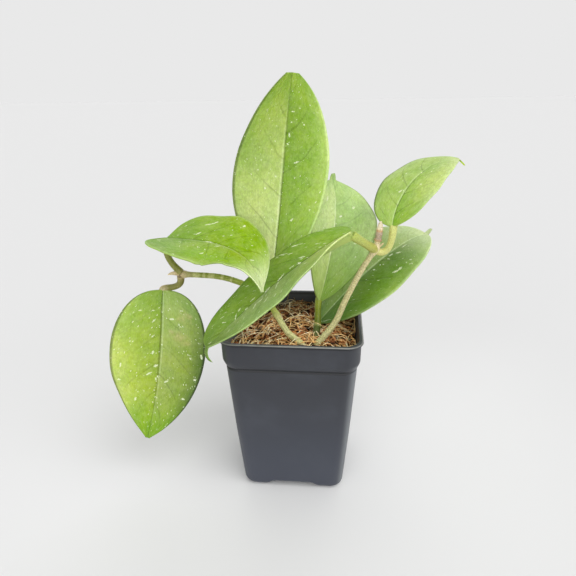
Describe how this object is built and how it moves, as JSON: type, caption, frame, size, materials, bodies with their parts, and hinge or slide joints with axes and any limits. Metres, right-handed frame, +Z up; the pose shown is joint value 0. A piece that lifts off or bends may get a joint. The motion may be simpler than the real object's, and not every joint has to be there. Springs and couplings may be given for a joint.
{
  "type": "potted climbing plant",
  "caption": "Young hoya with thick ovate leaves on arching shoots, rooted in coir mix in a small square nursery pot.",
  "frame": {"origin": "middle of the plant's footprint, on the ground under the pot's feet", "axes": "+Z up, +X to the viewer's right along the pot's front, +Y away from the viewer"},
  "size_m": [0.1924, 0.1056, 0.2318],
  "materials": {
    "leaf": "satin",
    "pale_leaf": "satin",
    "petiole": "satin",
    "stem": "matte",
    "green_stem": "matte",
    "pot": "satin",
    "coir": "matte"
  },
  "bodies": {
    "root": {"stem_left": "stem", "stem_right": "stem", "stem_centre": "green_stem", "leaf_tall": "leaf", "petiole_tall": "petiole", "leaf_front": "leaf", "petiole_front": "petiole", "leaf_left": "leaf", "petiole_left": "petiole", "leaf_hanging": "leaf", "petiole_hanging": "petiole", "leaf_upper": "leaf", "petiole_upper": "petiole", "leaf_back": "pale_leaf", "petiole_back": "petiole", "leaf_low": "leaf", "petiole_low": "petiole", "pot": "pot", "potting_mix": "coir"}
  },
  "joints": []
}
